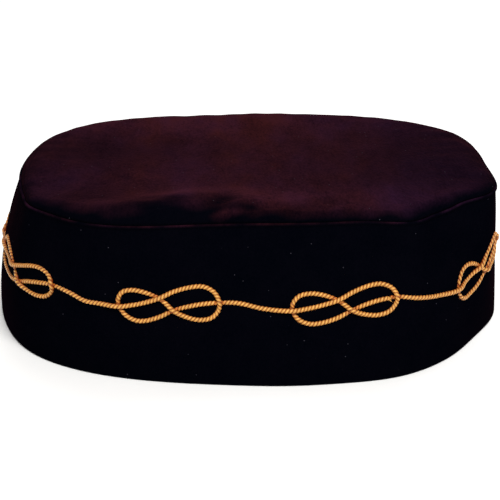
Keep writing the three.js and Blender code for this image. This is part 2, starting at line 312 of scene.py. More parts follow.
class CrownCapColours(bpy.types.PropertyGroup):
    """Colours of the finishes."""

    pile_deep: bpy.props.FloatVectorProperty(
        name="Pile, deep", description="Velvet pile seen end on", size=4, subtype="COLOR",
        default=linear_colour("010206"))
    pile_worn: bpy.props.FloatVectorProperty(
        name="Pile, brushed", description="Velvet pile where the nap is brushed over", size=4,
        subtype="COLOR", default=linear_colour("040409"))
    # Painted sheen colour: the maroon glow laid into the base colour of the top
    painted_sheen_maroon: bpy.props.FloatVectorProperty(
        name="Pile, maroon", description="Velvet pile where the nap stands up", size=4, subtype="COLOR",
        default=linear_colour("2c1012"))
    # Painted sheen colour: its purple cast towards both ends of the cap
    painted_sheen_purple: bpy.props.FloatVectorProperty(
        name="Pile, purple", description="Purple cast of the standing nap", size=4, subtype="COLOR",
        default=linear_colour("241022"))
    pile_sheen: bpy.props.FloatVectorProperty(
        name="Pile sheen", description="Light that the pile gives at a low angle", size=4, subtype="COLOR",
        default=linear_colour("b0565f"))
    gold: bpy.props.FloatVectorProperty(
        name="Gold", description="Cord's outer fibres", size=4, subtype="COLOR",
        default=linear_colour("f5b75a"))
    # Painted shade of the cord: its colour between the plies and near the pile
    gold_in_shade: bpy.props.FloatVectorProperty(
        name="Gold, deep", description="Cord's fibres between the plies", size=4, subtype="COLOR",
        default=linear_colour("822c02"))
    # Painted shade tint of a strand where another crosses over it
    gold_crossing_shade: bpy.props.FloatVectorProperty(
        name="Gold, covered", description="Tint of the strands at a crossing", size=4, subtype="COLOR",
        default=linear_colour("e2b27c"))
    floor: bpy.props.FloatVectorProperty(
        name="Floor", description="Pale floor of the studio", size=4, subtype="COLOR",
        default=linear_colour("f4f3f1"))


class CrownCapStudio(bpy.types.PropertyGroup):
    """Camera of the studio."""

    elevation: bpy.props.FloatProperty(
        name="Elevation", description="Camera's angle over the horizon",
        default=math.radians(20.28), subtype="ANGLE")
    distance: bpy.props.FloatProperty(
        name="Distance", description="Camera's distance from the point that it looks at",
        default=543.2 * MM, unit="LENGTH")
    aim_right: bpy.props.FloatProperty(
        name="Aim to the right", description="How far right of the rim's middle the camera looks",
        default=1.945 * MM, unit="LENGTH")
    aim_height: bpy.props.FloatProperty(
        name="Aim height", description="Height of the point that the camera looks at",
        default=20.35 * MM, unit="LENGTH")
    lens: bpy.props.FloatProperty(
        name="Lens", description="Focal length on a sensor 36 mm wide",
        default=92.8, subtype="DISTANCE_CAMERA")


def pull_at(corners, bearing):
    """How far a table's corners pull at each bearing, in metres."""
    total = np.zeros_like(bearing, dtype=float)
    for corner in corners:
        away = (bearing - corner.bearing + 180) % 360 - 180
        total += corner.pull * MM * np.exp(-(away / corner.spread) ** 2)
    return total


def oval_radius(half_length, half_width, squareness, bearing):
    """Distance from the middle to a squared oval at each bearing."""
    turn = np.radians(bearing)
    lengthwise = np.abs(np.cos(turn) / half_length) ** squareness
    widthwise = np.abs(np.sin(turn) / half_width) ** squareness
    return (lengthwise + widthwise) ** (-1 / squareness)


def rim_radius(cap, bearing):
    """Distance from the middle to the rim's outer edge."""
    oval = oval_radius(cap.rim_half_length, cap.rim_half_width, RIM_SQUARENESS, bearing)
    return oval + pull_at(RIM_CORNERS, bearing)


def seam_radius(cap, bearing):
    """Distance from the middle to the seam."""
    oval = oval_radius(cap.seam_half_length, cap.seam_half_width, SEAM_SQUARENESS, bearing)
    return oval + pull_at(SEAM_CORNERS, bearing)


def wall_ripple(bearing, share):
    """Slight waves of the band's cloth, which fade out at the rim and at the seam."""
    turn = np.radians(bearing)
    long_wave = np.sin(5 * turn + 2.1 * share + 0.6) + 0.7 * np.sin(9 * turn - 3.4 * share + 2.2)
    short_wave = 0.4 * np.sin(17 * turn + 5.2 * share) + 0.3 * np.sin(23 * turn - 7.1 * share + 1.3)
    return 0.16 * MM * (long_wave + short_wave) * np.clip(4 * share * (1 - share), 0, 1)


def band_points(cap, bearing, share, out):
    """Points of the band's wall at shares of the seam's height, out from its outer face."""
    rim = rim_radius(cap, bearing)
    bow = (cap.wall_bow + pull_at(WALL_SWELLS, bearing)) * 4 * share * (1 - share)
    radius = rim + (seam_radius(cap, bearing) - rim) * share + bow + out + wall_ripple(bearing, share)
    turn = np.radians(bearing)
    x = radius * np.cos(turn) + cap.seam_lean * share
    return np.stack([x, radius * np.sin(turn), cap.seam_height * share + 0 * radius], axis=-1)


def frame_shift(cap):
    """Step from the outlines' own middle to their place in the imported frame."""
    bearing, share = np.meshgrid(np.arange(0, 360, 0.5), np.linspace(0, 1, 30))
    wall = band_points(cap, bearing, share, 0 * bearing)
    outline_middle = (wall.min(axis=(0, 1)) + wall.max(axis=(0, 1))) / 2
    low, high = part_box("side_band")
    step = (np.array(low) + np.array(high)) / 2 - outline_middle
    return np.array([step[0], step[1], 0])


def ring_stack(name, rows):
    """A ring of edges drawn up once for each further row, and the row and bearing of each corner."""
    bpy.ops.object.select_all(action="DESELECT")
    bpy.ops.mesh.primitive_circle_add(vertices=FACETS, radius=1, fill_type="NOTHING")
    piece = bpy.context.active_object
    piece.name = name
    piece.data.name = name
    bpy.ops.object.mode_set(mode="EDIT")
    bpy.ops.mesh.select_all(action="SELECT")
    for _ in range(rows - 1):
        bpy.ops.mesh.extrude_edges_move(TRANSFORM_OT_translate={"value": (0, 0, 1)})
    bpy.ops.object.mode_set(mode="OBJECT")
    corners = np.empty(len(piece.data.vertices) * 3)
    piece.data.vertices.foreach_get("co", corners)
    corners = corners.reshape(-1, 3)
    row = np.rint(corners[:, 2]).astype(int)
    bearing = np.degrees(np.arctan2(corners[:, 1], corners[:, 0]))
    piece.data.attributes.new("row", "INT", "POINT").data.foreach_set("value", row.astype(np.int32))
    return piece, row, bearing


def close_shell(piece, points, how):
    """Moves a ring stack's corners to their points and closes its open ends, bridged or drawn together."""
    piece.data.vertices.foreach_set("co", points.ravel())
    piece.data.update()
    bpy.ops.object.mode_set(mode="EDIT")
    bpy.ops.mesh.select_mode(type="VERT")
    bpy.ops.mesh.select_non_manifold(extend=False)
    if how == "BRIDGE":
        bpy.ops.mesh.bridge_edge_loops()
    else:
        bpy.ops.mesh.merge(type="COLLAPSE")
    bpy.ops.mesh.select_all(action="SELECT")
    bpy.ops.mesh.normals_make_consistent(inside=False)
    bpy.ops.object.mode_set(mode="OBJECT")
    bpy.ops.object.shade_smooth()


def face_rows(piece):
    """Lowest and highest row that each face of a ring stack touches."""
    row = np.empty(len(piece.data.vertices), dtype=np.int32)
    piece.data.attributes["row"].data.foreach_get("value", row)
    touched = [row[list(face.vertices)] for face in piece.data.polygons]
    return np.array([rows.min() for rows in touched]), np.array([rows.max() for rows in touched])


def add_node(tree, kind, values=None, links=None, **settings):
    """Adds a node with its settings, its sockets' values and the outputs that are linked to its sockets."""
    node = tree.nodes.new(kind)
    for name, setting in settings.items():
        setattr(node, name, setting)
    for socket, value in (values or {}).items():
        node.inputs[socket].default_value = value
    for socket, output in (links or {}).items():
        tree.links.new(output, node.inputs[socket])
    return node


def new_material(name):
    """A material with its node tree and its shader."""
    material = bpy.data.materials.new(name)
    material.use_nodes = True
    tree = material.node_tree
    tree.nodes.clear()
    shader = add_node(tree, "ShaderNodeBsdfPrincipled")
    add_node(tree, "ShaderNodeOutputMaterial", links={"Surface": shader.outputs["BSDF"]})
    return material, tree, shader


def velvet(name, colours, sheen):
    """Cotton velvet with a short cut pile."""
    # Pile swallows the light that falls straight in, so the cloth is near black face on, and its tips glow
    # dark maroon at a low angle. A painted sheen, maroon in blotches, is also laid into the base colour where
    # the piece's attribute asks for it; its cast changes over 35 mm and turns purple towards both ends of the
    # cap.
    # Brushed patches of the pile are 16 mm wide and drawn out from front to back. The tufts are drawn 0.9 mm
    # wide, coarser than the real 0.2 mm, so that they show. A few faint specks of lint lie on the pile, each
    # up to 0.5 mm wide.
    material, tree, shader = new_material(name)
    place = add_node(tree, "ShaderNodeTexCoord").outputs["Object"]
    drawn = add_node(tree, "ShaderNodeMapping", {"Scale": (1, 0.4, 1)}, {"Vector": place}).outputs[0]
    nap = add_node(
        tree, "ShaderNodeTexNoise", {"Scale": 1 / (16 * MM), "Detail": 4, "Roughness": 0.75},
        {"Vector": drawn})
    tufts = add_node(
        tree, "ShaderNodeTexNoise", {"Scale": 1 / (0.9 * MM), "Detail": 2, "Roughness": 0.7},
        {"Vector": drawn})
    tuft_share = add_node(
        tree, "ShaderNodeMath", {1: 0.8}, {0: tufts.outputs["Fac"]}, operation="MULTIPLY")
    both = add_node(
        tree, "ShaderNodeMath", links={0: nap.outputs["Fac"], 1: tuft_share.outputs[0]}, operation="ADD")
    brushed = add_node(
        tree, "ShaderNodeMapRange", {"From Min": 0.6, "From Max": 1.2}, {"Value": both.outputs[0]})
    pile = add_node(
        tree, "ShaderNodeMix", {6: colours.pile_deep, 7: colours.pile_worn},
        {0: brushed.outputs[0]}, data_type="RGBA")
    cast = add_node(
        tree, "ShaderNodeTexNoise", {"Scale": 1 / (35 * MM), "Detail": 3, "Roughness": 0.65},
        {"Vector": drawn})
    rightward = add_node(tree, "ShaderNodeSeparateXYZ", links={0: place})
    off_middle = add_node(tree, "ShaderNodeMath", {1: 20 * MM}, {0: rightward.outputs["X"]}, operation="ADD")
    aside = add_node(tree, "ShaderNodeMath", {1: 2}, {0: off_middle.outputs[0]}, operation="POWER")
    purple = add_node(
        tree, "ShaderNodeMath", {1: 30}, {0: aside.outputs[0], 2: cast.outputs["Fac"]},
        operation="MULTIPLY_ADD")
    cast_share = add_node(
        tree, "ShaderNodeMapRange", {"From Min": 0.4, "From Max": 0.75}, {"Value": purple.outputs[0]})
    # Painted sheen: maroon turning purple, laid into the base colour as far as the attribute below reaches
    painted_sheen_colour = add_node(
        tree, "ShaderNodeMix", {6: colours.painted_sheen_maroon, 7: colours.painted_sheen_purple},
        {0: cast_share.outputs[0]}, data_type="RGBA")
    blotch = add_node(
        tree, "ShaderNodeMapRange", {"From Min": 0.6, "From Max": 1.2, "To Min": 0.35, "To Max": 1.65},
        {"Value": both.outputs[0]})
    painted_sheen = add_node(tree, "ShaderNodeAttribute", attribute_name="painted_sheen")
    painted_sheen_share = add_node(
        tree, "ShaderNodeMath", links={0: painted_sheen.outputs["Fac"], 1: blotch.outputs[0]},
        operation="MULTIPLY")
    cloth = add_node(
        tree, "ShaderNodeMix", links={0: painted_sheen_share.outputs[0], 6: pile.outputs[2], 7: painted_sheen_colour.outputs[2]},
        data_type="RGBA")
    cells = add_node(tree, "ShaderNodeTexVoronoi", {"Scale": 1 / (5 * MM)}, {"Vector": place})
    lint = add_node(
        tree, "ShaderNodeMapRange", {"From Min": 0.05, "From Max": 0}, {"Value": cells.outputs["Distance"]})
    surface = add_node(
        tree, "ShaderNodeMix", {7: linear_colour("46434c")},
        {0: lint.outputs[0], 6: cloth.outputs[2]}, data_type="RGBA")
    relief = add_node(
        tree, "ShaderNodeBump", {"Strength": 0.8, "Distance": 0.3 * MM}, {"Height": tufts.outputs["Fac"]})
    sheen_shaping = add_node(
        tree, "ShaderNodeBump", {"Strength": 0.3, "Distance": 0.8 * MM},
        {"Height": nap.outputs["Fac"], "Normal": relief.outputs[0]})
    tree.links.new(surface.outputs[2], shader.inputs["Base Color"])
    tree.links.new(sheen_shaping.outputs[0], shader.inputs["Normal"])
    shader.inputs["Roughness"].default_value = 0.95
    shader.inputs["Specular IOR Level"].default_value = 0
    shader.inputs["Sheen Weight"].default_value = sheen
    shader.inputs["Sheen Roughness"].default_value = 0.25
    shader.inputs["Sheen Tint"].default_value = colours.pile_sheen
    return material


def velvet_back():
    """Woven cotton ground, the back of the velvet."""
    # Plain weave, dull and dark, with threads drawn 1.1 mm apart so that they show
    material, tree, shader = new_material("woven_cotton_ground")
    place = add_node(tree, "ShaderNodeTexCoord").outputs["Object"]
    warp = add_node(
        tree, "ShaderNodeTexWave", {"Scale": 0.628 / (1.1 * MM), "Distortion": 0.6, "Detail": 1},
        {"Vector": place}, bands_direction="DIAGONAL")
    turned = add_node(tree, "ShaderNodeMapping", {"Scale": (1, -1, 0.2)}, {"Vector": place})
    weft = add_node(
        tree, "ShaderNodeTexWave", {"Scale": 0.628 / (1.1 * MM), "Distortion": 0.6, "Detail": 1},
        {"Vector": turned.outputs[0]}, bands_direction="DIAGONAL")
    threads = add_node(
        tree, "ShaderNodeMath", links={0: warp.outputs["Fac"], 1: weft.outputs["Fac"]}, operation="MULTIPLY")
    shade = add_node(tree, "ShaderNodeMix", {6: linear_colour("0b080b"), 7: linear_colour("2a2228")},
                     {0: threads.outputs[0]}, data_type="RGBA")
    relief = add_node(
        tree, "ShaderNodeBump", {"Strength": 0.8, "Distance": 0.2 * MM}, {"Height": threads.outputs[0]})
    tree.links.new(shade.outputs[2], shader.inputs["Base Color"])
    tree.links.new(relief.outputs[0], shader.inputs["Normal"])
    shader.inputs["Roughness"].default_value = 0.95
    shader.inputs["Specular IOR Level"].default_value = 0.08
    return material


def gold_cord_material(colours):
    """Rayon cord of two plies, gold."""
    # Smooth filaments lie along each ply and give its pale tops a soft lustre. Painted shade, darker and
    # redder, lies between the plies and near the pile, and on a strand where another crosses over it.
    # Filaments are drawn 0.18 mm wide, coarser than the real 0.02 mm, so that they show.
    material, tree, shader = new_material("gold_rayon_twist")
    around = add_node(tree, "ShaderNodeUVMap", uv_map="ply")
    filaments = add_node(
        tree, "ShaderNodeTexNoise", {"Scale": 1, "Detail": 2, "Roughness": 0.6},
        {"Vector": add_node(tree, "ShaderNodeMapping", {"Scale": (20, 0.7 / MM, 1)},
                            {"Vector": around.outputs[0]}).outputs[0]})
    tone = add_node(
        tree, "ShaderNodeTexNoise", {"Scale": 1, "Detail": 2},
        {"Vector": add_node(tree, "ShaderNodeMapping", {"Scale": (1.2, 0.16 / MM, 1)},
                            {"Vector": around.outputs[0]}).outputs[0]})
    # Painted shade between the plies and near the pile, darker the deeper a corner lies
    depth = add_node(tree, "ShaderNodeAttribute", attribute_name="ply_depth")
    outer = add_node(tree, "ShaderNodeMath", {1: 1.7}, {0: depth.outputs["Fac"]}, operation="POWER")
    worn = add_node(
        tree, "ShaderNodeMapRange", {"From Min": 0.3, "From Max": 0.7, "To Min": 0.72, "To Max": 1.12},
        {"Value": filaments.outputs["Fac"]})
    shade = add_node(
        tree, "ShaderNodeMix", {6: colours.gold_in_shade, 7: colours.gold}, {0: outer.outputs[0]},
        data_type="RGBA")
    toned = add_node(
        tree, "ShaderNodeMapRange", {"From Min": 0.3, "From Max": 0.7, "To Min": 0.85, "To Max": 1.12},
        {"Value": tone.outputs["Fac"]})
    strength = add_node(
        tree, "ShaderNodeMath", links={0: worn.outputs[0], 1: toned.outputs[0]}, operation="MULTIPLY")
    fibre = add_node(
        tree, "ShaderNodeMix", {0: 1.0}, {6: shade.outputs[2], 7: strength.outputs[0]},
        data_type="RGBA", blend_type="MULTIPLY")
    # Painted shade on a strand where another crosses over it
    cover = add_node(tree, "ShaderNodeAttribute", attribute_name="covered")
    hidden = add_node(
        tree, "ShaderNodeMapRange", {"From Min": 0.3, "From Max": 0.6}, {"Value": cover.outputs["Fac"]})
    crossing_shaded = add_node(
        tree, "ShaderNodeMix", {7: colours.gold_crossing_shade}, {0: hidden.outputs[0], 6: fibre.outputs[2]},
        data_type="RGBA", blend_type="MULTIPLY")
    relief = add_node(
        tree, "ShaderNodeBump", {"Strength": 0.5, "Distance": 0.06 * MM},
        {"Height": filaments.outputs["Fac"]})
    tree.links.new(crossing_shaded.outputs[2], shader.inputs["Base Color"])
    tree.links.new(relief.outputs[0], shader.inputs["Normal"])
    shader.inputs["Roughness"].default_value = 0.4
    shader.inputs["Specular IOR Level"].default_value = 0.4
    shader.inputs["Specular Tint"].default_value = linear_colour("fff0da")
    return material


def floor_material(colours):
    """Matt paper floor."""
    # Even and pale, with a faint mottle 60 mm wide
    material, tree, shader = new_material("matt_paper")
    place = add_node(tree, "ShaderNodeTexCoord").outputs["Object"]
    mottle = add_node(
        tree, "ShaderNodeTexNoise", {"Scale": 1 / (60 * MM), "Detail": 2}, {"Vector": place})
    shade = add_node(
        tree, "ShaderNodeMix", {6: colours.floor, 7: linear_colour("fbfaf9")},
        {0: mottle.outputs["Fac"]}, data_type="RGBA")
    tree.links.new(shade.outputs[2], shader.inputs["Base Color"])
    shader.inputs["Roughness"].default_value = 0.9
    shader.inputs["Specular IOR Level"].default_value = 0.1
    return material


# Band's section in mm, as heights and steps out, from under the rim up the outside, over the seam's welt,
# down into its groove and down the inside. The welt's crest has a painted highlight in patches, of a width
# in mm.
RIM_CURL = ((0, -1.2), (0.04, -0.7), (0.2, -0.3), (0.55, -0.08), (1.2, 0))
WELT = (
    (56.1, 0.0), (56.6, 0.08), (56.95, 0.3), (57.25, 0.55), (57.6, 0.68), (57.95, 0.56), (58.15, 0.25),
    (58.15, -0.1), (57.95, -0.4), (57.6, -0.6), (57.1, -0.85),
)
# Painted highlight along the welt's crest, as a share for each welt row
WELT_HIGHLIGHT = 0, 0, 0, 0, 0.08, 0.28, 0.36, 0.15, 0, 0, 0
WELT_HIGHLIGHT_PATCH = 6
WELT_INSIDE = ((56.9, -1.5), (56.9, -2.1), (56.5, -2.5))
RIM_INSIDE = ((0.9, -2.45), (0.12, -1.9))
BAND_SHEEN = 0.012


def band_section(cap):
    """Rows of the band's wall as heights and steps out, and the numbers of its first welt and inside rows."""
    outside = [(height, 0) for height in np.linspace(3, 55.2, BAND_OUTSIDE_ROWS)]
    inside = [(height, -cap.band_cloth / MM) for height in np.linspace(54, 2.5, BAND_INSIDE_ROWS)]
    before_welt = len(RIM_CURL) + len(outside)
    before_inside = before_welt + len(WELT)
    rows = [*RIM_CURL, *outside, *WELT, *WELT_INSIDE, *inside, *RIM_INSIDE]
    return np.array(rows, dtype=float) * MM, before_welt, before_inside


class CROWNCAP_OT_side_band(bpy.types.Operator):
    """Side band of velvet, with its turned rim and the welt of the seam that joins it to the top"""

    bl_idname = "crown_cap.side_band"
    bl_label = "Side Band"

    def execute(self, context):
        cap = context.scene.crown_cap
        colours = context.scene.crown_cap_colours
        section, before_welt, before_inside = band_section(cap)
        piece, row, bearing = ring_stack("side_band_velvet", len(section))
        share = section[row, 0] / cap.seam_height
        points = band_points(cap, bearing, share, section[row, 1]) + frame_shift(cap)
        # Painted highlight along the welt's crest, in patches
        welt_highlight = np.interp(row, before_welt + np.arange(len(WELT_HIGHLIGHT)), WELT_HIGHLIGHT, left=0, right=0)
        patches = np.array([noise.noise(Vector(point) / (WELT_HIGHLIGHT_PATCH * MM)) for point in points])
        welt_highlight *= np.clip(0.8 + 1.8 * patches, 0, 2)
        piece.data.attributes.new("painted_sheen", "FLOAT", "POINT").data.foreach_set("value", welt_highlight)
        close_shell(piece, points, "BRIDGE")
        piece.data.materials.append(velvet("cotton_velvet_band", colours, BAND_SHEEN))
        piece.data.materials.append(velvet_back())
        lowest, highest = face_rows(piece)
        finish = (lowest >= before_inside - 1) | (highest - lowest > 1)
        piece.data.polygons.foreach_set("material_index", finish.astype(np.int32))
        middle = band_points(cap, np.arange(0, 360.0), np.full(360, 0.5), np.zeros(360))
        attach(piece, "root")
        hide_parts("side_band")
        return {"FINISHED"}


# Names and sheens of the top's velvet, from the share of the roll's height that each starts at: shaded copies
# of one velvet, with less sheen lower down the roll, so the lower roll is darker
ROLL_SHEEN_STEPS = {
    0: ("cotton_velvet_tuck", 0.04),
    0.35: ("cotton_velvet_low_roll", 0.1),
    0.6: ("cotton_velvet_roll", 0.2),
    0.8: ("cotton_velvet_shoulder", 0.3),
    0.92: ("cotton_velvet_top", 0.38),
}


def spots_at(spots, x, y):
    """Sum of the top panel's spots at each place."""
    total = np.zeros_like(x)
    for spot in spots:
        turn = math.radians(spot.turn)
        right = x / MM - spot.x
        back = y / MM - spot.y
        along = right * math.cos(turn) + back * math.sin(turn)
        across = back * math.cos(turn) - right * math.sin(turn)
        total += spot.amount * np.exp(-(along / spot.length) ** 2 - (across / spot.width) ** 2)
    return total


def top_section(cap):
    """Rows of the top panel, from the middle of its underside out to the seam, over the roll and in again."""
    # Each row has its share of the roll's depth, of the way in to the middle and of the puff, its step below
    # the skin and its step in from the seam, both in metres
    inset = SEAM_INSET * MM
    under = [(1, inward, 1, cap.top_cloth, inset) for inward in np.linspace(INNERMOST_ROW, 0, TOP_UNDER_ROWS)]
    tuck = [
        (0.5, 0, 0.8, cap.top_cloth, inset),
        (0.1, 0, 0, 0.6 * MM, 0.6 * MM),
        (0, 0, 0, 1.1 * MM, 1.0 * MM),
        (0, 0, 0, 0.8 * MM, 0.65 * MM),
        (0, 0, 0, 0.4 * MM, 0.42 * MM),
    ]
    angles = np.radians(np.linspace(6, 90, TOP_ROLL_ROWS))
    roll = [(1 - math.cos(angle), 0, math.sin(angle), 0, inset) for angle in angles]
    field = [(1, inward, 1, 0, inset) for inward in np.linspace(0, INNERMOST_ROW, TOP_FIELD_ROWS)[1:]]
    return np.array(under + tuck + roll + field), len(under) + len(tuck) - 2


class CROWNCAP_OT_top_panel(bpy.types.Operator):
    """Top panel of velvet, puffed over the seam, with the dents and folds that it has from being stored"""

    bl_idname = "crown_cap.top_panel"
    bl_label = "Top Panel"

    def execute(self, context):
        cap = context.scene.crown_cap
        colours = context.scene.crown_cap_colours
        section, before_roll = top_section(cap)
        piece, row, bearing = ring_stack("top_panel_velvet", len(section))
        depth, inward, rise, below, inset = section[row].T
        turn = np.radians(bearing)
        puff = cap.puff + pull_at(PUFF_SWELLS, bearing)
        radius = (seam_radius(cap, bearing) - inset - depth * puff * cap.roll_depth) * (1 - inward)
        x = radius * np.cos(turn) + cap.seam_lean
        y = radius * np.sin(turn)
        waves = np.array([noise.noise(Vector((a, b, 0.7)) / (WAVE_WIDTH * MM)) for a, b in zip(x, y)])
        puckers = np.array([noise.noise(Vector((a, b, 0.2)) / (PUCKER_WIDTH * MM)) for a, b in zip(x, y)])
        swell = cap.middle_puff + (puff - cap.middle_puff) * np.exp(-(inward / 0.24) ** 2)
        swell += spots_at(TOP_DENTS, x, y) * MM
        swell += WAVE_HEIGHT * MM * waves + PUCKER_HEIGHT * MM * puckers * np.exp(-(inward / 0.2) ** 2)
        height = cap.seam_height + SEAM_RISE * MM + rise * swell - below
        points = np.stack([x, y, height], axis=-1) + frame_shift(cap)
        # Painted sheen on the top: none on the lower roll, growing past its edge, with painted highlight and
        # shade in spots, in the dents and on the folds
        sheen_shaping = spots_at(PAINTED_LIGHT_SPOTS, x, y) + PAINTED_LIGHT_PER_DENT_MM * spots_at(TOP_DENTS, x, y)
        up_roll = np.arcsin(rise) / (np.pi / 2) + 5 * inward
        past_edge = up_roll - PAINTED_SHEEN_EDGE_START + spots_at(PAINTED_SHEEN_EDGE_SPOTS, x, y) + PAINTED_SHEEN_EDGE_PUCKERS * puckers
        painted_sheen = np.clip(past_edge / PAINTED_SHEEN_EDGE_BLEND, 0, 1) * (PAINTED_SHEEN_SHARE + sheen_shaping)
        piece.data.attributes.new("painted_sheen", "FLOAT", "POINT").data.foreach_set("value", painted_sheen)
        close_shell(piece, points, "DRAW_IN")
        piece.data.materials.append(velvet_back())
        for name, sheen in ROLL_SHEEN_STEPS.values():
            piece.data.materials.append(velvet(name, colours, sheen))
        lowest, _ = face_rows(piece)
        finish = sum((section[lowest, 2] >= start) & (lowest >= before_roll) for start in ROLL_SHEEN_STEPS)
        piece.data.polygons.foreach_set("material_index", finish.astype(np.int32))
        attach(piece, "root")
        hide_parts("top_panel")
        return {"FINISHED"}


def knot_points(knot, cord, knot_along):
    """Places of a knot's route along the band, over the rim and off the wall."""
    over = [KnotPoint(-point.along, -point.up, point.crossing) for point in reversed(KNOT_HALF)]
    places = []
    for number, point in enumerate([*over, KnotPoint(0, 0, False), *KNOT_HALF]):
        right = 0.5 + 0.5 * math.tanh(point.along / LOOP_BLEND)
        left = 1 - right
        turn = math.radians(left * knot.left.tilt + right * knot.right.tilt)
        reach = point.along * (left * knot.left.length + right * knot.right.length) / LOOP_LENGTH
        rise = point.up * (left * knot.left.height + right * knot.right.height) / LOOP_HEIGHT
        reach += rise * (left * knot.left.lean + right * knot.right.lean)
        along = knot_along + (reach * math.cos(turn) - rise * math.sin(turn)) * MM
        height = cord.height + (knot.up + rise * math.cos(turn) + reach * math.sin(turn)) * MM
        lift = (LIFT_OVER if number < len(over) else LIFT_UNDER) * point.crossing
        places.append((along, height, lift * cord.diameter))
    return places


def part_way(start, stop, share):
    """Place at a share of the way between two places of a route."""
    return tuple(a + (b - a) * share for a, b in zip(start, stop))


def link_points(link, start, stop):
    """Places of a link between two knots, where it sways from the straight way."""
    places = []
    for sway in link:
        along, height, _ = part_way(start, stop, sway.share)
        places.append((along, height + sway.up * MM, 0))
    return places


def smooth_route(places):
    """Smooth curve through the places of a route, with many steps between each two."""
    places = np.array(places)
    ends = 2 * places[0] - places[1], 2 * places[-1] - places[-2]
    places = np.vstack([ends[0], places, ends[1]])
    spans = np.sqrt(np.linalg.norm(np.diff(places, axis=0), axis=1))[:, None]
    first, start, stop, last = places[:-3], places[1:-2], places[2:-1], places[3:]
    before, between, after = spans[:-2], spans[1:-1], spans[2:]
    leave = (start - first) / before - (stop - first) / (before + between) + (stop - start) / between
    arrive = (stop - start) / between - (last - start) / (between + after) + (last - stop) / after
    leave, arrive = leave * between, arrive * between
    part = np.linspace(0, 1, ROUTE_STEPS, endpoint=False)[:, None, None]
    curve = (
        (2 * part ** 3 - 3 * part ** 2 + 1) * start + (part ** 3 - 2 * part ** 2 + part) * leave
        + (3 * part ** 2 - 2 * part ** 3) * stop + (part ** 3 - part ** 2) * arrive
    )
    return np.vstack([curve.transpose(1, 0, 2).reshape(-1, 3), places[-2]])


def even_steps(line, step, outward):
    """A line of points and its outward directions, taken at even steps, with the length at each point."""
    lengths = np.append(0, np.cumsum(np.linalg.norm(np.diff(line, axis=0), axis=1)))
    marks = np.linspace(0, lengths[-1], int(round(lengths[-1] / step)) + 1)
    taken = [
        np.stack([np.interp(marks, lengths, column) for column in values.T], axis=-1)
        for values in (line, outward)
    ]
    return *taken, marks


def unit(vectors):
    """Vectors of length one."""
    return vectors / np.linalg.norm(vectors, axis=-1, keepdims=True)


def cord_line(cap, cord):
    """Middle line of the cord on the wall, with the wall's outward direction and the length at each point."""
    bearings = FRONT_BEARING + np.linspace(0, 360, ARC_STEPS + 1)
    share = np.full(ARC_STEPS + 1, cord.height / cap.seam_height)
    ring = band_points(cap, bearings, share, 0 * share)
    arcs = np.append(0, np.cumsum(np.linalg.norm(np.diff(ring, axis=0), axis=1)))
    round_length = arcs[-1]
    back_pitch = (round_length + (LEFT_KNOT.along - RIGHT_KNOT.along) * MM) / (BACK_KNOTS + 1)
    chain = [(RIGHT_LINK, RIGHT_KNOT, RIGHT_KNOT.along * MM)]
    for number in range(BACK_KNOTS):
        chain.append((BACK_LINK, BACK_KNOT, RIGHT_KNOT.along * MM + back_pitch * (number + 1)))
    chain.append((BACK_LINK, LEFT_KNOT, LEFT_KNOT.along * MM + round_length))
    chain.append((LEFT_LINK, FRONT_LEFT_KNOT, FRONT_LEFT_KNOT.along * MM + round_length))
    chain.append((FRONT_LINK, FRONT_RIGHT_KNOT, FRONT_RIGHT_KNOT.along * MM + round_length))
    *_, before, leave = knot_points(FRONT_RIGHT_KNOT, cord, FRONT_RIGHT_KNOT.along * MM)
    places = [part_way(before, leave, CORD_START), leave]
    for link, knot, knot_along in chain:
        knotted = knot_points(knot, cord, knot_along)
        places += link_points(link, places[-1], knotted[0]) + knotted
    places[-1] = part_way(places[-2], places[-1], CORD_END)
    along, height, lift = smooth_route(places).T
    bearing = np.interp(along, np.append(arcs, arcs + round_length), np.append(bearings, bearings + 360))
    share = height / cap.seam_height
    flat = 0 * share
    sideways = band_points(cap, bearing + 0.2, share, flat) - band_points(cap, bearing - 0.2, share, flat)
    upwards = band_points(cap, bearing, share + 0.01, flat) - band_points(cap, bearing, share - 0.01, flat)
    outward = unit(np.cross(sideways, upwards))
    clear = lift - SUNK * cord.diameter
    line = band_points(cap, bearing, share, flat) + outward * clear[:, None]
    return even_steps(line + frame_shift(cap), cord.twist / STEPS_PER_TWIST, outward)


def across_line(line, outward):
    """Directions along a line, away from the wall and across both, at each of its points."""
    ahead = unit(np.gradient(line, axis=0))
    up = unit(outward - ahead * np.sum(outward * ahead, axis=-1, keepdims=True))
    return ahead, up, np.cross(ahead, up)


# A tube of the cord: its rings of corners, its length at each ring, how far out of the cord and of the pile
# each corner lies, and how far each ring is covered
Strand = namedtuple("Strand", "rings marks depth covered")
RING_TURNS = 2 * np.pi * np.arange(PLY_SIDES) / PLY_SIDES


def tube_rings(line, outward, wide, high):
    """Rings of corners round a line, of half sizes across it and outwards that may change along it."""
    _, up, across = across_line(line, outward)
    wide, high = (np.broadcast_to(size, len(line))[:, None, None] for size in (wide, high))
    outwards = high * np.cos(RING_TURNS)[:, None] * up[:, None]
    return line[:, None] + outwards + wide * np.sin(RING_TURNS)[:, None] * across[:, None]


def covered_share(line, outward, marks, reach):
    """How near each point of the cord lies to another stretch that goes over it, from 0 at the reach to 1."""
    tree = kdtree.KDTree(len(line))
    for number, point in enumerate(line):
        tree.insert(point, number)
    tree.balance()
    shares = []
    for point, up, mark in zip(line, outward, marks):
        others = [near for near in tree.find_range(point, reach) if abs(marks[near[1]] - mark) > 3 * reach]
        over = [away for place, _, away in others if np.dot(np.array(place) - point, up) > 0]
        shares.append(1 - min(over, default=reach) / reach)
    return np.array(shares)


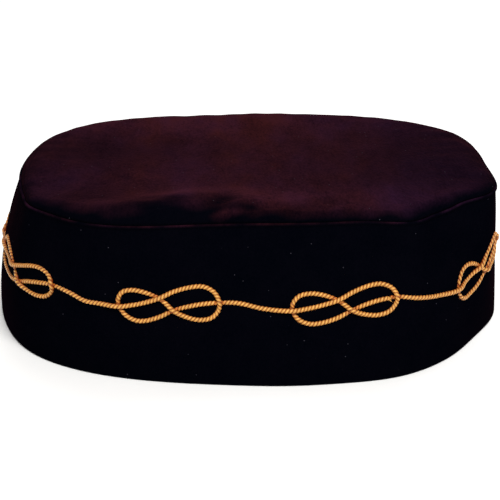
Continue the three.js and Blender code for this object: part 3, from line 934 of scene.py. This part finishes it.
def plies(cord, line, outward, marks):
    """Plies of the cord, twisted round its middle line."""
    _, up, across = across_line(line, outward)
    covered = covered_share(line, outward, marks, CROSSING_REACH * cord.diameter)
    step = np.diff(marks, prepend=marks[0])
    twists = np.cumsum(step / (cord.twist * (1 + cord.slack * outward[:, 0] ** 2)))
    for number in range(cord.plies):
        phase = 2 * np.pi * (number / cord.plies - twists)
        radial = np.cos(phase)[:, None] * up + np.sin(phase)[:, None] * across
        middle = line + PLY_OFFSET * cord.diameter * radial
        rings = tube_rings(middle, radial, PLY_HALF_WIDTH * cord.diameter, PLY_HALF_HEIGHT * cord.diameter)
        # Depth out of the grooves and of the pile sets the cord's painted shade
        out_of_pile = np.sum((rings - line[:, None]) * up[:, None], axis=-1) / (0.5 * cord.diameter)
        out_of_groove = np.clip((np.cos(RING_TURNS) - 0.2) / 0.8, 0, 1)
        depth = out_of_groove * np.clip(0.4 + 0.65 * out_of_pile, 0, 1)
        yield Strand(rings, marks, depth, covered)


def frayed_fibres(cord, line, outward):
    """Loose fibres at the cord's frayed end, which bend over and hang down the wall."""
    draw = np.random.default_rng(5)
    ahead, up, across = (direction[-1] for direction in across_line(line, outward))
    part = np.linspace(0, 1, FRAY_STEPS)[:, None]
    for _ in range(FRAY_FIBRES):
        root = line[-1] - 0.3 * MM * ahead + draw.uniform(-0.3, 0.3) * cord.diameter * across
        root = root + draw.uniform(-0.15, 0.35) * cord.diameter * up
        length = draw.uniform(*FRAY_LENGTHS) * MM
        leave = unit(ahead + draw.normal(0, 0.5) * across + draw.uniform(0, 0.6) * up)
        hang = np.array([0, 0, -1]) + draw.normal(0, 0.35, 3)
        fibre = root + length * (part * leave + 0.7 * part ** 2 * hang)
        marks = length * part[:, 0]
        thick = FRAY_THICKNESS / 2 * MM * (1 - 0.75 * part[:, 0])
        rings = tube_rings(fibre, np.tile(up, (FRAY_STEPS, 1)), thick, thick)
        yield Strand(rings, marks, np.ones((FRAY_STEPS, PLY_SIDES)), 0 * marks)


def strand_mesh(name, strands):
    """One mesh of a cord's tubes, with a UV map round and along them and each corner's depth and cover."""
    corners, faces, places, depths, covers = [], [], [], [], []
    for number, strand in enumerate(strands):
        steps = len(strand.rings)
        ring = sum(len(block) for block in corners) + np.arange(steps * PLY_SIDES).reshape(steps, PLY_SIDES)
        beside = np.roll(ring, -1, axis=1)
        faces.append(np.stack([ring[:-1], beside[:-1], beside[1:], ring[1:]], axis=-1).reshape(-1, 4))
        corners.append(strand.rings.reshape(-1, 3))
        depths.append(strand.depth.ravel())
        covers.append(np.repeat(strand.covered, PLY_SIDES))
        left, here = np.meshgrid(number + np.arange(PLY_SIDES) / PLY_SIDES, strand.marks[:-1])
        right, there = np.meshgrid(number + np.arange(1, PLY_SIDES + 1) / PLY_SIDES, strand.marks[1:])
        places.append(np.stack([left, here, right, here, right, there, left, there], axis=-1).reshape(-1, 2))
    mesh = bpy.data.meshes.new(name)
    mesh.from_pydata(np.vstack(corners).tolist(), [], np.vstack(faces).tolist())
    mesh.uv_layers.new(name="ply").data.foreach_set("uv", np.vstack(places).ravel())
    mesh.attributes.new("ply_depth", "FLOAT", "POINT").data.foreach_set("value", np.concatenate(depths))
    mesh.attributes.new("covered", "FLOAT", "POINT").data.foreach_set("value", np.concatenate(covers))
    return mesh


class CROWNCAP_OT_gold_cord(bpy.types.Operator):
    """Gold cord of two plies, laid once round the band in a chain of love knots, with its frayed end"""

    bl_idname = "crown_cap.gold_cord"
    bl_label = "Gold Cord"

    def execute(self, context):
        cord = context.scene.crown_cap_cord
        line, outward, marks = cord_line(context.scene.crown_cap, cord)
        strands = [*plies(cord, line, outward, marks), *frayed_fibres(cord, line, outward)]
        piece = bpy.data.objects.new("gold_cord_plies", strand_mesh("gold_cord_plies", strands))
        context.scene.collection.objects.link(piece)
        bpy.ops.object.select_all(action="DESELECT")
        piece.select_set(True)
        context.view_layer.objects.active = piece
        bpy.ops.object.mode_set(mode="EDIT")
        bpy.ops.mesh.select_all(action="SELECT")
        bpy.ops.mesh.fill_holes(sides=0)
        bpy.ops.mesh.select_all(action="SELECT")
        bpy.ops.mesh.normals_make_consistent(inside=False)
        bpy.ops.object.mode_set(mode="OBJECT")
        bpy.ops.object.shade_smooth()
        piece.data.materials.append(gold_cord_material(context.scene.crown_cap_colours))
        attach(piece, "root")
        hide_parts("cord_trim")
        return {"FINISHED"}


def soft_light(name, place, aim, size, power):
    """A square soft light that looks at a point."""
    light = bpy.data.lights.new(name, "AREA")
    light.shape = "SQUARE"
    light.size = size
    light.energy = power
    lamp = bpy.data.objects.new(name, light)
    lamp.location = place
    lamp.rotation_euler = (Vector(aim) - Vector(place)).to_track_quat("-Z", "Y").to_euler()
    bpy.context.scene.collection.objects.link(lamp)


class CROWNCAP_OT_studio(bpy.types.Operator):
    """Pale floor, soft lights and the camera at the front of the cap"""

    bl_idname = "crown_cap.studio"
    bl_label = "Studio"

    def execute(self, context):
        studio = context.scene.crown_cap_studio
        bpy.ops.object.select_all(action="DESELECT")
        bpy.ops.mesh.primitive_plane_add(size=8)
        floor = context.active_object
        floor.name = "studio_floor"
        floor.data.materials.append(floor_material(context.scene.crown_cap_colours))
        floor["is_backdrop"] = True
        soft_light("key_light", (0.25, -0.9, 1.4), (0, 0, 0.03), 0.7, 27)
        soft_light("back_light", (0.2, 0.9, 1.2), (0, 0, 0.05), 1.2, 12)
        world = bpy.data.worlds.new("white_room")
        world.use_nodes = True
        world.node_tree.nodes["Background"].inputs["Color"].default_value = (1, 1, 1, 1)
        world.node_tree.nodes["Background"].inputs["Strength"].default_value = 0.35
        context.scene.world = world
        context.scene.view_settings.view_transform = "Standard"
        aim = Vector(frame_shift(context.scene.crown_cap)) + Vector((studio.aim_right, 0, studio.aim_height))
        away = Vector((0, -math.cos(studio.elevation), math.sin(studio.elevation))) * studio.distance
        lens = bpy.data.cameras.new("camera")
        lens.lens = studio.lens
        lens.sensor_width = 36
        lens.clip_start = 10 * MM
        camera = bpy.data.objects.new("camera", lens)
        camera.location = aim + away
        camera.rotation_euler = (-away).to_track_quat("-Z", "Y").to_euler()
        context.scene.collection.objects.link(camera)
        context.scene.camera = camera
        return {"FINISHED"}


class CROWNCAP_PT_pieces(bpy.types.Panel):
    """Pieces of the cap, in the order that they are made"""

    bl_idname = "CROWNCAP_PT_pieces"
    bl_label = "Crown Cap"
    bl_space_type = "VIEW_3D"
    bl_region_type = "UI"
    bl_category = "Crown Cap"

    def draw(self, context):
        for operator in OPERATORS:
            self.layout.operator(operator.bl_idname)


OPERATORS = (CROWNCAP_OT_side_band, CROWNCAP_OT_top_panel, CROWNCAP_OT_gold_cord, CROWNCAP_OT_studio)
SETTINGS = {
    "crown_cap": CrownCapSizes,
    "crown_cap_cord": CrownCapCord,
    "crown_cap_colours": CrownCapColours,
    "crown_cap_studio": CrownCapStudio,
}


def register():
    for group in (*SETTINGS.values(), *OPERATORS, CROWNCAP_PT_pieces):
        bpy.utils.register_class(group)
    for name, group in SETTINGS.items():
        setattr(bpy.types.Scene, name, bpy.props.PointerProperty(type=group))


def unregister():
    for name in SETTINGS:
        delattr(bpy.types.Scene, name)
    for group in (CROWNCAP_PT_pieces, *OPERATORS, *SETTINGS.values()):
        bpy.utils.unregister_class(group)


def main():
    register()
    bpy.ops.crown_cap.studio()
    bpy.ops.crown_cap.side_band()
    bpy.ops.crown_cap.top_panel()
    bpy.ops.crown_cap.gold_cord()
    boxes = {"cad": CAD_BOX, "visual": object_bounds()}
    {name: [list(corner) for corner in box] for name, box in boxes.items()}


if __name__ == "__main__":
    main()
